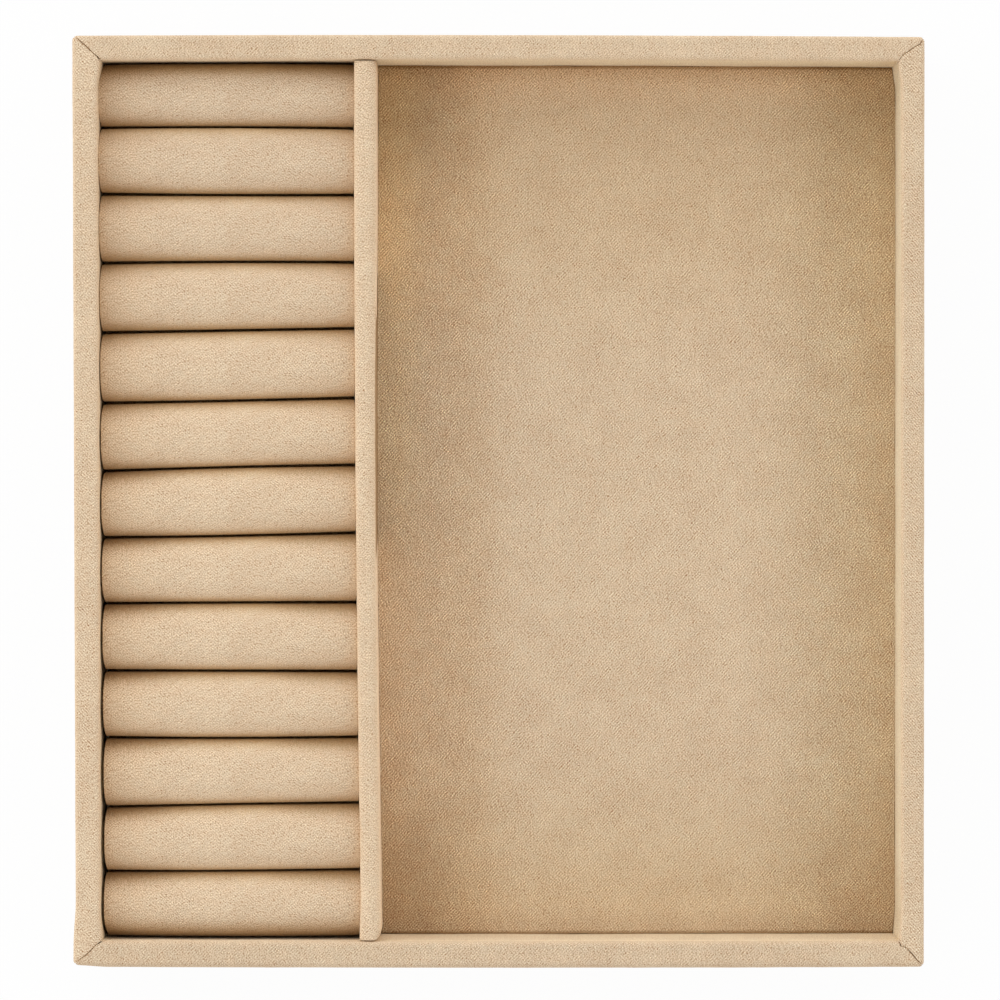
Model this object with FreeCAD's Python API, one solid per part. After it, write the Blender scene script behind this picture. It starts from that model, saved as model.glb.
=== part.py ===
import FreeCAD, Part
import os
from math import asin, cos, pi, sin, sqrt

from FreeCAD import Vector

# Jewelry tray: a shallow mitred frame wrapped in suede, with a bay of ring rolls on the left,
# a wrapped divider, and one open bay with a padded floor on the right.
# Millimetres. +X right, +Y back, +Z up. The origin is the middle of the footprint.

# Outside of the tray
tray_width = 228.0
tray_length = 250.0
tray_height = 36.0

# Suede: its thickness, the roundings it takes and what is turned in
suede = 0.8
corner_round = 2.0
rim_round = 1.2
outer_hem = 14.0
inner_hem = 8.0
mitre_gap = 0.1

# Boards of the carcass and the lining under it
wall_board = 5.2
base_board = 3.0
lining = 1.0
lining_inset = 5.0
lining_round = 6.0

# Divider
ring_bay_width = 69.3
divider_board = 4.0
divider_drop = 1.0
divider_round = 1.6
divider_end_round = 1.8
divider_hem = 7.0
hem_clearance = 0.5

# Floor pad of the open bay
floor_card = 2.0
floor_foam = 2.4
floor_hem = 10.0
floor_clearance = 0.3
floor_corner_round = 2.0
floor_edge_round = 1.6

# Ring rolls and the riser that lifts them
roll_count = 13
roll_gap = 0.3
roll_end_gap = 0.5
roll_drop = 3.8
roll_crown_radius = 20.0
roll_shoulder = 4.0
roll_seam = 1.5
riser = 6.0
riser_clearance = 0.4

# What every cut runs past its piece, and how near two heights count as one
overrun = 5.0
nearness = 0.001

# Sizes that follow
wall = wall_board + 2 * suede
divider = divider_board + 2 * suede
inner_width = tray_width - 2 * wall
inner_length = tray_length - 2 * wall
base_bottom = lining + suede
base_top = base_bottom + base_board
bay_seat = base_top + suede
divider_x = -inner_width / 2 + ring_bay_width + divider / 2
divider_top = tray_height - divider_drop
floor_width = inner_width - ring_bay_width - divider - 2 * floor_clearance
floor_length = inner_length - 2 * floor_clearance
floor_x = inner_width / 2 - floor_clearance - floor_width / 2
floor_top = bay_seat + suede + floor_card + floor_foam + suede
roll_x = -inner_width / 2 + ring_bay_width / 2
roll_length = ring_bay_width - 2 * roll_end_gap
roll_pitch = inner_length / roll_count
roll_width = roll_pitch - roll_gap
roll_bottom = bay_seat + riser
roll_height = tray_height - roll_drop - roll_bottom

up = Vector(0, 0, 1)
across = Vector(1, 0, 0)


def under_suede(radius):
    """The rounding of a board whose wrap has this radius."""
    return max(radius - suede, 0)


def block(width, length, bottom, top, x=0, y=0):
    """A box centred on x, y."""
    corner = Vector(x - width / 2, y - length / 2, bottom)
    return Part.makeBox(width, length, top - bottom, corner)


def level_edges(shape, height):
    """The edges that lie flat at one height."""
    flat = []
    for edge in shape.Edges:
        box = edge.BoundBox
        if abs(box.ZMin - height) < nearness and abs(box.ZMax - height) < nearness:
            flat.append(edge)
    return flat


def upright_edges(shape):
    """The edges that stand straight up."""
    return [edge for edge in shape.Edges if edge.BoundBox.XLength + edge.BoundBox.YLength < nearness]


def rounded(shape, radius, edges):
    """The shape with these edges rounded, or as it was where there is no radius."""
    if radius > 0:
        return shape.makeFillet(radius, edges)
    return shape


def rounded_block(width, length, bottom, top, corner, top_round, fold_round, x=0):
    """A box with round upright corners, then round top and bottom edges."""
    shape = block(width, length, bottom, top, x)
    shape = rounded(shape, corner, upright_edges(shape))
    shape = rounded(shape, top_round, level_edges(shape, top))
    return rounded(shape, fold_round, level_edges(shape, bottom))


def section_arc(middle, radius, start, end):
    """An arc in the YZ plane about a middle, between two angles."""
    points = []
    for angle in (start, (start + end) / 2, end):
        points.append(middle + Vector(0, radius * cos(angle), radius * sin(angle)))
    return Part.Arc(*points).toShape()


def section_line(start, end):
    """A straight edge of a section."""
    return Part.LineSegment(start, end).toShape()


def section_face(edges):
    """The face inside a closed ring of edges."""
    return Part.Face(Part.Wire(edges))


def wall_section(outer, inner, bottom, top, inner_round, foot):
    """A wall's section, outside to inside, with a round inner rim edge and the foot's points."""
    middle = Vector(0, inner - inner_round, top - inner_round)
    rim_start = Vector(0, inner - inner_round, top)
    rim_end = Vector(0, inner, top - inner_round)
    points = [rim_end] + foot + [Vector(0, outer, bottom), Vector(0, outer, top), rim_start]
    edges = [section_line(first, second) for first, second in zip(points, points[1:])]
    if inner_round > 0:
        edges.append(section_arc(middle, inner_round, pi / 2, 0))
    return section_face(edges)


def cover_section():
    """The wall with its wrap, the turn-in on the base and the hem below the base."""
    turn_in = wall + inner_hem
    foot = [
        Vector(0, wall, bay_seat),
        Vector(0, turn_in, bay_seat),
        Vector(0, turn_in, base_top),
        Vector(0, outer_hem, base_top),
        Vector(0, outer_hem, lining),
    ]
    return wall_section(0, wall, lining, tray_height, rim_round, foot)


def board_section():
    """The bare wall board."""
    inner = suede + wall_board
    foot = [Vector(0, inner, base_top)]
    return wall_section(suede, inner, base_top, tray_height - suede, under_suede(rim_round), foot)


def mitre_wedge(side):
    """The room between two mitre planes, for a wall whose outside lies on Y 0."""
    ends = side / 2 - mitre_gap / sqrt(2)
    depth = wall + inner_hem + outer_hem
    outline = [
        Vector(-ends, 0, 0),
        Vector(ends, 0, 0),
        Vector(ends - depth, depth, 0),
        Vector(depth - ends, depth, 0),
        Vector(-ends, 0, 0),
    ]
    return Part.Face(Part.makePolygon(outline)).extrude(up * tray_height)


def mitred(section, side, turn, reach):
    """A section drawn along one side, mitred at both ends, and moved to its side of the tray."""
    length = section.extrude(across * side)
    length.translate(across * (-side / 2))
    piece = length.common(mitre_wedge(side))
    piece.translate(Vector(0, -reach, 0))
    piece.rotate(Vector(0, 0, 0), up, turn)
    return piece


def wall_outside(inset):
    """The outside of the frame, or of its boards where it is inset by the suede."""
    return rounded_block(
        tray_width - 2 * inset,
        tray_length - 2 * inset,
        lining + inset,
        tray_height - inset,
        max(corner_round - inset, 0),
        max(rim_round - inset, 0),
        max(suede - inset, 0),
    )


def base():
    """The board that the frame stands on."""
    width = tray_width - 2 * suede
    length = tray_length - 2 * suede
    return rounded_block(width, length, base_bottom, base_top, under_suede(corner_round), 0, 0)


def underside():
    """The sheet that hides the hems and lies on the table."""
    width = tray_width - 2 * lining_inset
    length = tray_length - 2 * lining_inset
    return rounded_block(width, length, 0, lining, lining_round, 0, 0)


def divider_envelope():
    """The wrapped divider without its hems."""
    return rounded_block(
        divider, inner_length, base_top, divider_top, divider_end_round, divider_round, 0, divider_x
    )


def divider_core():
    """The divider's board, wrapped on both faces, its top and its ends."""
    length = inner_length - 2 * suede
    end_round = under_suede(divider_end_round)
    top_round = under_suede(divider_round)
    top = divider_top - suede
    return rounded_block(divider_board, length, base_top, top, end_round, top_round, 0, divider_x)


def divider_wrap():
    """The divider's suede, with a hem on the base along each face."""
    width = divider + 2 * divider_hem
    length = inner_length - 2 * (inner_hem + hem_clearance)
    hems = block(width, length, base_top, bay_seat, divider_x)
    return divider_envelope().fuse(hems).removeSplitter().cut(divider_core())


def wall_pieces(carcass_base):
    """Each wall's board and cover, by the side that it stands on."""
    sides = {
        "front": (tray_width, 0, tray_length / 2),
        "right": (tray_length, 90, tray_width / 2),
        "back": (tray_width, 180, tray_length / 2),
        "left": (tray_length, 270, tray_width / 2),
    }
    outside = wall_outside(0)
    board_outside = wall_outside(suede)
    notch = block(divider + 2 * hem_clearance, inner_length, base_top, bay_seat, divider_x)
    pieces = {}
    for side, (length, turn, reach) in sides.items():
        board = mitred(board_section(), length, turn, reach).common(board_outside)
        cover = mitred(cover_section(), length, turn, reach).common(outside)
        cover = cover.cut(board).cut(carcass_base)
        if side in ("front", "back"):
            cover = cover.cut(notch)
        pieces[side + "_wall_board"] = board
        pieces[side + "_wall_cover"] = cover
    return pieces


def pad_outside(inset, bottom):
    """The floor pad's outside, or the foam's where it is inset by the suede, with soft top edges."""
    return rounded_block(
        floor_width - 2 * inset,
        floor_length - 2 * inset,
        bottom,
        floor_top - inset,
        max(floor_corner_round - inset, 0),
        max(floor_edge_round - inset, 0),
        0,
        floor_x,
    )


def floor_pieces():
    """The card, foam and wrap of the floor pad."""
    width = floor_width - 2 * suede
    length = floor_length - 2 * suede
    card_bottom = bay_seat + suede
    card_top = card_bottom + floor_card
    card = rounded_block(width, length, card_bottom, card_top, under_suede(floor_corner_round), 0, 0, floor_x)
    foam = pad_outside(suede, card_top)
    window = block(floor_width - 2 * floor_hem, floor_length - 2 * floor_hem, bay_seat, card_bottom, floor_x)
    wrap = pad_outside(0, bay_seat).cut(window).cut(card).cut(foam)
    return {"floor_card": card, "floor_foam": foam, "floor_cover": wrap}


def roll_section(inset):
    """A ring roll's loaf section, or its foam's where it is inset by the suede."""
    reach = roll_width / 2 - roll_shoulder
    spread = asin(reach / (roll_crown_radius - roll_shoulder))
    lean = pi / 2 - spread
    crown_middle = Vector(0, 0, roll_bottom + roll_height - roll_crown_radius)
    shoulder_height = crown_middle.z + (roll_crown_radius - roll_shoulder) * cos(spread)
    shoulder = roll_shoulder - inset
    side = roll_width / 2 - inset
    bottom = roll_bottom + inset
    edges = [
        section_line(Vector(0, -side, bottom), Vector(0, side, bottom)),
        section_line(Vector(0, side, bottom), Vector(0, side, shoulder_height)),
        section_arc(Vector(0, reach, shoulder_height), shoulder, 0, lean),
        section_arc(crown_middle, roll_crown_radius - inset, lean, pi - lean),
        section_arc(Vector(0, -reach, shoulder_height), shoulder, pi - lean, pi),
        section_line(Vector(0, -side, shoulder_height), Vector(0, -side, bottom)),
    ]
    return section_face(edges)


def ring_roll():
    """One roll at Y 0: the foam core, and the sleeve whose edges meet under it."""
    core = roll_section(suede).extrude(across * roll_length)
    sleeve = roll_section(0).extrude(across * roll_length).cut(core)
    core.translate(across * (roll_x - roll_length / 2))
    sleeve.translate(across * (roll_x - roll_length / 2))
    seam = block(ring_bay_width, roll_seam, roll_bottom - overrun, roll_bottom + suede, roll_x)
    return core, sleeve.cut(seam)


def ring_rolls():
    """The row of rolls, numbered from the back."""
    core, sleeve = ring_roll()
    pieces = {}
    for number in range(roll_count):
        place = Vector(0, inner_length / 2 - (number + 1 / 2) * roll_pitch, 0)
        pieces["ring_roll_core_%02d" % (number + 1)] = core.translated(place)
        pieces["ring_roll_sleeve_%02d" % (number + 1)] = sleeve.translated(place)
    return pieces


def ring_riser():
    """The slab that lifts the rolls to just under the rim."""
    width = ring_bay_width - 2 * riser_clearance
    length = inner_length - 2 * riser_clearance
    return block(width, length, bay_seat, bay_seat + riser, roll_x)


def tray_pieces():
    """Every piece of the tray, by its name."""
    carcass_base = base()
    pieces = {"underside_lining": underside(), "base_board": carcass_base}
    pieces.update(wall_pieces(carcass_base))
    pieces["divider_board"] = divider_core()
    pieces["divider_cover"] = divider_wrap()
    pieces.update(floor_pieces())
    pieces["ring_bed_riser"] = ring_riser()
    pieces.update(ring_rolls())
    return pieces


def main():
    os.makedirs("parts", exist_ok=True)
    for name, shape in tray_pieces().items():
        solids = shape.Solids
        if len(solids) != 1 or not solids[0].isValid():
            raise ValueError("%s is not one sound solid" % name)
        solids[0].exportStep("parts/%s.step" % name)


main()
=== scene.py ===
"""Dresses the jewelry tray: suede wraps, padded ring rolls, a padded floor, boards and the stage."""

import math

import bmesh
import bpy
from bpy.props import FloatProperty, FloatVectorProperty, PointerProperty
from mathutils import Matrix, Vector, noise


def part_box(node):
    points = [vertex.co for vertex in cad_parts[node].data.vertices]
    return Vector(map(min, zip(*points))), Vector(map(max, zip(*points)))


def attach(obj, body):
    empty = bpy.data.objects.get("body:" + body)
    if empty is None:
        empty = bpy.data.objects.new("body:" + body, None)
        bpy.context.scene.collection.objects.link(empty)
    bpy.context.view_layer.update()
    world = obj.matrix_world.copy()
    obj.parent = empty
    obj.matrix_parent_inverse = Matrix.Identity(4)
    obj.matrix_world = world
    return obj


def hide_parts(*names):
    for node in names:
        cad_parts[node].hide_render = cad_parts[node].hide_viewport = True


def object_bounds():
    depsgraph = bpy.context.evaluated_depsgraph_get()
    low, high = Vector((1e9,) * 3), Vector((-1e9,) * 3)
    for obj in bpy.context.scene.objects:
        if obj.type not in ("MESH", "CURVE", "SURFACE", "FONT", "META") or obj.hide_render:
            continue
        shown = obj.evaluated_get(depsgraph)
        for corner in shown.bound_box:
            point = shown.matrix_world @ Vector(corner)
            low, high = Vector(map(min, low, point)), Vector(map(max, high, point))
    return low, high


bl_info = {
    "name": "Jewelry tray",
    "version": (1, 0, 0),
    "blender": (4, 5, 0),
    "location": "3D View > Sidebar > Tray",
    "description": "Wraps the tray's boards in suede and pads its ring rolls and floor",
    "category": "Object",
}

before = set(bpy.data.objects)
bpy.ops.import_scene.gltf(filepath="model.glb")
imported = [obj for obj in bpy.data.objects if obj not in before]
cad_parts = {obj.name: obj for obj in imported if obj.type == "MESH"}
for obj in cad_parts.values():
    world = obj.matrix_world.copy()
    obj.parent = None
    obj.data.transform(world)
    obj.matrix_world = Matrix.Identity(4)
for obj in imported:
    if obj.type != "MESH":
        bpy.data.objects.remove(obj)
TRAY_LOW, TRAY_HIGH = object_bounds()
BOARD_LOW, BOARD_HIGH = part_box("back_wall_board")
BASE_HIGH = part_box("base_board")[1]
LINING_LOW, LINING_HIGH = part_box("underside_lining")
DIVIDER_LOW, DIVIDER_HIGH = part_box("divider_board")
PAD_LOW, PAD_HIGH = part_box("floor_cover")
PAD_FOAM_LOW, PAD_FOAM_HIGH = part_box("floor_foam")
RISER_LOW, RISER_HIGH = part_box("ring_bed_riser")
ROLL_LOW, ROLL_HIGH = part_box("ring_roll_sleeve_01")
SECOND_ROLL_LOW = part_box("ring_roll_sleeve_02")[0]

# Lengths are in metres
MM = 0.001
NEAR = 1e-6
SUEDE = TRAY_HIGH.y - BOARD_HIGH.y
WALL = TRAY_HIGH.y - BOARD_LOW.y + SUEDE
SEAT = BASE_HIGH.z + SUEDE
INNER_Y = TRAY_HIGH.y - WALL
INNER_X = TRAY_HIGH.x - WALL
ROLL_PITCH = ROLL_LOW.y - SECOND_ROLL_LOW.y
ROLL_COUNT = len([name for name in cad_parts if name.startswith("ring_roll_sleeve")])

# How much of the suede's colour is raised nap on the whole, and how wide one tip of its fibres is
NAP_MEAN = 0.64
FIBRE_CELL = 0.27 * MM

# Each wall: half its length, its turn about Z, and the corners at its two ends
WALLS = {
    "front": (TRAY_HIGH.x, 0, ("front_left", "front_right")),
    "right": (TRAY_HIGH.y, 90, ("front_right", "back_right")),
    "back": (TRAY_HIGH.x, 180, ("back_right", "back_left")),
    "left": (TRAY_HIGH.y, 270, ("back_left", "front_left")),
}

# How far each wall's wrap stands in towards the bays, in mm, at its outside and at its inside
SET_IN = {"front": (0.2, 0.4), "right": (0.0, -0.65), "back": (0.25, 0.0), "left": (0.0, -0.2)}

# How pale each wall's suede is, how much its twill and its fibres show, and how much paler its inside is
# The paleness of each wall and of its inside is painted light and shade for how each side is lit
WALL_NAPS_AND_PAINTED_LIGHT = {
    "front": (0.962, 0.55, 1.15, (1.24, 1.34, 1.40)),
    "right": (0.99, 0.75, 1.25, (1.13, 1.26, 1.33)),
    "back": (0.995, 0.5, 1.02, (1.09, 1.155, 1.15)),
    "left": (1.035, 0.55, 1.22, (1.13, 1.18, 1.17)),
}

# Painted shade on each wall's outside, and on the front wall's rim
OUTSIDE_PAINTED_SHADE = (0.8, 0.82, 0.88)
FRONT_RIM_PAINTED_SHADE = (0.93, 0.92, 0.92)

# Painted light that makes the divider's right face paler
DIVIDER_FACE_PAINTED_LIGHT = (1.22, 1.26, 1.31)

# Painted shade on the rolls towards the back and behind each crown, and painted light deep in the creases
BACK_ROLLS_PAINTED_SHADE = (0.95, 0.95, 0.96)
BEHIND_CROWN_PAINTED_SHADE = (0.98, 0.965, 0.91)
DEEP_CREASE_PAINTED_LIGHT = (1.2, 1.27, 1.3)

# Painted light and shade on the floor's suede, mostly darker along the walls, in the corners and at the back
# and front edges: mm from the sides where a tone starts and where it is full
FLOOR_PAINTED_SHADING = (
    ((("back", 90, 35),), (0.97, 0.94, 0.88)),
    ((("back", 15, 3),), (1.1, 1.08, 1.08)),
    ((("front", 58, 6),), (0.97, 0.96, 0.9)),
    ((("left", 40, 21),), (0.91, 0.855, 0.79)),
    ((("left", 16, 3), ("back", 150, 100)), (1.13, 1.15, 1.09)),
    ((("right", 45, 5),), (0.85, 0.83, 0.755)),
    ((("left", 30, 8), ("back", 45, 8)), (0.75, 0.74, 0.70)),
    ((("left", 30, 8), ("front", 45, 8)), (0.82, 0.79, 0.76)),
    ((("right", 30, 8), ("back", 45, 8)), (0.88, 0.86, 0.83)),
    ((("right", 30, 8), ("front", 45, 8)), (0.92, 0.88, 0.88)),
    ((("front", 9, 1),), (0.93, 0.93, 0.95)),
    ((("back", 1.0, 0),), (0.6, 0.5, 0.38)),
    ((("front", 1.0, 0),), (0.6, 0.52, 0.42)),
)

# Where the floor's grain is bolder, as above, and how much
FLOOR_GRAINS = (
    ((("left", 45, 15),), 0.45),
    ((("right", 45, 10),), 0.45),
)

# Points that each mitre seam passes: mm in from the side wall, mm in from the end wall, and how open it is
SEAMS = {
    "back_left": (
        (0.9, 0.5, 0.7),
        (2.7, 2.2, 1.2),
        (4.2, 3.9, 1.2),
        (5.5, 5.4, 0.8),
        (5.9, 5.6, 0.1),
        (6.2, 5.9, 0.9),
        (6.7, 6.6, 0.2),
    ),
    "back_right": (
        (0.7, 1.0, 1.7),
        (1.0, 1.7, 1.8),
        (1.3, 2.1, 0.8),
        (2.6, 2.7, 0.7),
        (4.0, 3.9, 0.9),
        (5.6, 5.0, 0.6),
        (6.5, 6.2, 0.2),
    ),
    "front_left": (
        (0.8, 1.0, 0.2),
        (1.7, 2.1, 0.9),
        (3.6, 4.0, 0.9),
        (5.0, 5.6, 0.7),
        (6.3, 6.5, 0.4),
    ),
    "front_right": (
        (0.9, 0.9, 0.3),
        (1.9, 1.7, 1.3),
        (3.0, 3.1, 1.4),
        (4.2, 4.4, 0.9),
        (4.7, 5.1, 0.8),
        (6.4, 5.3, 0.7),
        (6.7, 6.2, 0.3),
    ),
}

# How far towards the back each crease lies, in mm, at its left and right end, from the back to the front
CREASES = (
    (0.1, 0.1),
    (0.9, 0.7),
    (1.2, 0.9),
    (0.7, 0.9),
    (0.1, 1.3),
    (-0.7, 0.7),
    (-0.9, 0.8),
    (-0.6, 0.7),
    (-0.2, 0.1),
    (-0.2, -0.4),
    (0.0, 0.1),
    (-0.7, 0.5),
    (0.2, 0.7),
    (0.7, 0.6),
)


def size(name, description, millimetres):
    """A length that a user may change."""
    length = millimetres * MM
    return FloatProperty(name=name, description=description, default=length, unit="LENGTH", precision=5)


def light_level(name, description, default, **settings):
    """A light's level that a user may change."""
    return FloatProperty(name=name, description=description, default=default, **settings)


def colour(name, description, red, green, blue):
    """A colour that a user may change, as light that the surface gives back."""
    return FloatVectorProperty(
        name=name, description=description, default=(red, green, blue), subtype="COLOR", min=0, max=1
    )


class TraySizes(bpy.types.PropertyGroup):
    """Sizes of the wraps and pads that the boards don't give."""

    corner_round: size("Corner", "Rounding of the frame's upright corners", 1.4)
    rim_round: size("Rim", "Rounding of the rim's edges", 1.2)
    outer_hem: size("Outer hem", "Suede turned under the base", 14.0)
    inner_hem: size("Inner hem", "Suede turned in on the base", 8.0)
    seam_width: size("Seam width", "Half of what a mitre seam draws in", 0.4)
    seam_depth: size("Seam depth", "How deep a mitre seam is drawn in", 0.8)
    left_run: size("Left wall's run", "How far the left wall runs in at the front", 0.39)
    back_run: size("Back wall's run", "How far the back wall runs out at the left", 0.2)
    back_bow: size("Back wall's bow", "How far the back wall's middle stands out", 0.35)
    front_bow: size("Front wall's bow", "How far the front wall's middle stands out", 0.27)
    flare: size("Corner fold", "How far the front left corner stands out", 0.65)
    flare_reach: size("Corner fold's reach", "Where the front left corner starts to stand out", 18.0)
    fold: size("Inner fold", "How far the side walls' wraps bunch up in the inner corners", 0.8)
    fold_reach: size("Inner fold's reach", "Where the wraps start to bunch up", 7.0)
    divider_round: size("Divider top", "Rounding of the divider's top edges", 1.6)
    divider_end: size("Divider end", "Rounding of the divider's front end, on the open bay's side", 2.3)
    divider_proud: size("Divider pad", "What the wrap adds on top of the divider", 0.5)
    divider_hem: size("Divider hem", "Suede turned out on the base", 7.0)
    divider_off: size("Divider offset", "How far the divider's middle stands to the right", -0.59)
    divider_lean: size("Divider lean", "How far the divider's back end runs to the left", 0.96)
    divider_bow: size("Divider bow", "How far the divider's ends bend to the right", 0.55)
    divider_thin: size("Divider, thin", "What the divider lacks in width along its front half", 0.32)
    divider_taper: size("Divider taper", "How much wider the divider's back end is", 0.68)
    divider_short: size("Divider, short", "How far the divider's front end stops short", 0.5)
    divider_kick: size("Divider end's kick", "How far the front end's left edge stands out", 0.5)
    pad_round: size("Pad edge", "Rounding of the floor pad's edges", 0.5)
    pad_droop: size("Pad droop", "How far the floor pad sinks along the back wall", 0.7)
    pad_gap: size("Pad gap", "Room between the floor pad and the walls", 0.05)
    pad_corner: size("Pad corner", "How far the pad's left corners reach round the divider", 0.7)
    pad_hem: size("Pad hem", "Suede turned under the floor pad", 10.0)
    roll_shoulder: size("Roll shoulder", "Rounding of a roll's shoulders", 5.6)
    roll_crown: size("Roll crown", "Radius of a roll's crown", 24.0)
    roll_gap: size("Roll gap", "Room in the crease between two rolls", 0.2)
    roll_slump: size("Roll slump", "How far a roll's shoulders sink at its left end", 4.6)
    roll_seam: size("Roll seam", "Open seam under a roll", 1.5)
    roll_swell: size("Roll swell", "The most that a roll's sleeve swells", 0.6)
    pad_swell: size("Pad swell", "The most that the floor pad swells", 0.35)
    roll_left: size("Rolls' left room", "Room at the left end of the rolls halfway along the bay", 0.6)
    roll_right: size("Rolls' right room", "Room at the right end of the rolls", 0.15)
    roll_draw: size("Roll draw", "How far the corners of a roll's ends draw in", 0.45)
    roll_dip: size("Roll dip", "How far a roll's ends dip", 0.8)
    first_dip: size("First roll's dip", "How far the first roll lies lower, and again along the wall", 1.4)
    last_low: size("Last roll's drop", "How far the last roll lies lower", 0.3)
    last_dip: size("Last roll's dip", "How far the last roll dips along the front wall", 0.8)
    last_out: size("Last roll's reach", "How much closer the last roll comes to the left wall", 0.25)
    fray: size("Fray", "How uneven the nap is in the rolls' creases", 0.16)
    lining_round: size("Lining corner", "Rounding of the lining's corners", 6.0)


class TrayFinishes(bpy.types.PropertyGroup):
    """Colours of the tray, the painted shade on its rolls, and the level of its lights."""

    suede: colour("Suede", "Raised nap of the suede", 0.835, 0.68, 0.485)
    suede_deep: colour("Suede, deep", "Between the fibres of the suede", 0.43, 0.255, 0.14)
    # Painted shade on the rolls: in the creases, at the left ends, behind and before the crowns, and along
    # the back and front walls
    crease_shade: colour("Crease", "What the rolls' creases keep of the suede's colour", 0.95, 0.88, 0.72)
    roll_end_shade: colour("Roll end", "What the rolls' left ends keep of it", 0.95, 0.905, 0.855)
    crease_end_shade: colour("Crease end", "What front rolls keep of it behind, at the left", 0.70, 0.63, 0.55)
    crease_right_shade: colour("Crease, right", "What front rolls keep of it behind, at the right", 0.8, 0.76, 0.7)
    crease_front_shade: colour("Crease front", "What rolls keep of it in front, at the left", 0.89, 0.86, 0.82)
    bay_back_shade: colour("Bay back", "What the first roll keeps of it along the back wall", 0.64, 0.53, 0.36)
    bay_front_shade: colour("Bay front", "What the last roll keeps of it along the front wall", 0.53, 0.44, 0.33)
    lining: colour("Lining", "Lining under the tray", 0.50, 0.36, 0.235)
    foam: colour("Foam", "Foam inside the pads", 0.84, 0.80, 0.68)
    fibreboard: colour("Fibreboard", "Boards of the carcass", 0.42, 0.27, 0.14)
    greyboard: colour("Greyboard", "Card of the floor pad", 0.36, 0.34, 0.31)
    key_power: light_level("Key light", "Power of the key light", 2.5, unit="POWER")
    sky_top: light_level("Light above", "Level of the soft light from above", 0.43)
    sky_side: light_level("Light around", "Level of the soft light from all sides", 1.71)
    sky_lean: light_level("Light lean", "How much brighter the back left is", 0.32)


def put(tree, kind, inputs=None, **settings):
    """A node with these settings, its inputs set or linked."""
    node = tree.nodes.new(kind)
    for name, value in settings.items():
        setattr(node, name, value)
    for name, value in (inputs or {}).items():
        if isinstance(value, bpy.types.NodeSocket):
            tree.links.new(value, node.inputs[name])
        else:
            node.inputs[name].default_value = value
    return node


def maths(tree, operation, first, second):
    """The result of a sum on two values or sockets."""
    return put(tree, "ShaderNodeMath", {0: first, 1: second}, operation=operation).outputs[0]


def mixed(tree, share, first, second, blend="MIX"):
    """Two colours mixed."""
    inputs = {"Factor": share, 6: first, 7: second}
    return put(tree, "ShaderNodeMix", inputs, data_type="RGBA", blend_type=blend).outputs[2]


def speckles(tree, place, scale, detail=2.0, roughness=0.5):
    """Fine noise on a place."""
    inputs = {"Vector": place, "Scale": scale, "Detail": detail, "Roughness": roughness}
    return put(tree, "ShaderNodeTexNoise", inputs).outputs["Fac"]


def ranged(tree, value, low, high, to_low=0.0, to_high=1.0):
    """A value taken from one range to another."""
    inputs = {"Value": value, "From Min": low, "From Max": high, "To Min": to_low, "To Max": to_high}
    return put(tree, "ShaderNodeMapRange", inputs).outputs["Result"]


def new_group(name, inputs, outputs):
    """An empty node group with its sockets, and its two ends."""
    tree = bpy.data.node_groups.new(name, "ShaderNodeTree")
    for socket, kind in inputs:
        tree.interface.new_socket(socket, in_out="INPUT", socket_type=kind)
    for socket, kind in outputs:
        tree.interface.new_socket(socket, in_out="OUTPUT", socket_type=kind)
    return tree, tree.nodes.new("NodeGroupInput").outputs, tree.nodes.new("NodeGroupOutput").inputs


def turned(tree, place, degrees):
    """A flat place turned about its middle."""
    turn = (0, 0, math.radians(degrees))
    return put(tree, "ShaderNodeMapping", {"Vector": place, "Rotation": turn}).outputs[0]


def stretched(tree, place, x, y):
    """A place whose X and Y are scaled, so that a pattern on it is drawn out."""
    return put(tree, "ShaderNodeMapping", {"Vector": place, "Scale": (x, y, 1)}).outputs[0]


def bumped(tree, shader, height, strength, distance):
    """Gives a shader a fine relief."""
    inputs = {"Height": height, "Strength": strength, "Distance": distance}
    tree.links.new(put(tree, "ShaderNodeBump", inputs).outputs[0], shader.inputs["Normal"])


def fibre_tips(tree, place, x, y):
    """A random level for each small cell of the cloth, taken some way off."""
    moved = put(tree, "ShaderNodeVectorMath", {0: place, 1: (x, y, 0)}, operation="ADD").outputs[0]
    spots = put(tree, "ShaderNodeVectorMath", {0: moved, 1: (FIBRE_CELL,) * 3}, operation="SNAP").outputs[0]
    return put(tree, "ShaderNodeTexWhiteNoise", {"Vector": spots}, noise_dimensions="2D").outputs["Value"]


def ribs_of(tree, cloth, degrees, scale, low, high):
    """A twill's fine, uneven ribs on the cloth at a turn, that come and go."""
    wave = {
        "Vector": turned(tree, cloth, degrees),
        "Scale": 483.0,
        "Distortion": 2.4,
        "Detail": 2.0,
        "Detail Scale": 1.4,
        "Detail Roughness": 0.6,
    }
    ribs = maths(tree, "SUBTRACT", put(tree, "ShaderNodeTexWave", wave).outputs["Fac"], 0.5)
    return maths(tree, "MULTIPLY", ribs, ranged(tree, speckles(tree, cloth, scale, 1.0), low, high))


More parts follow.
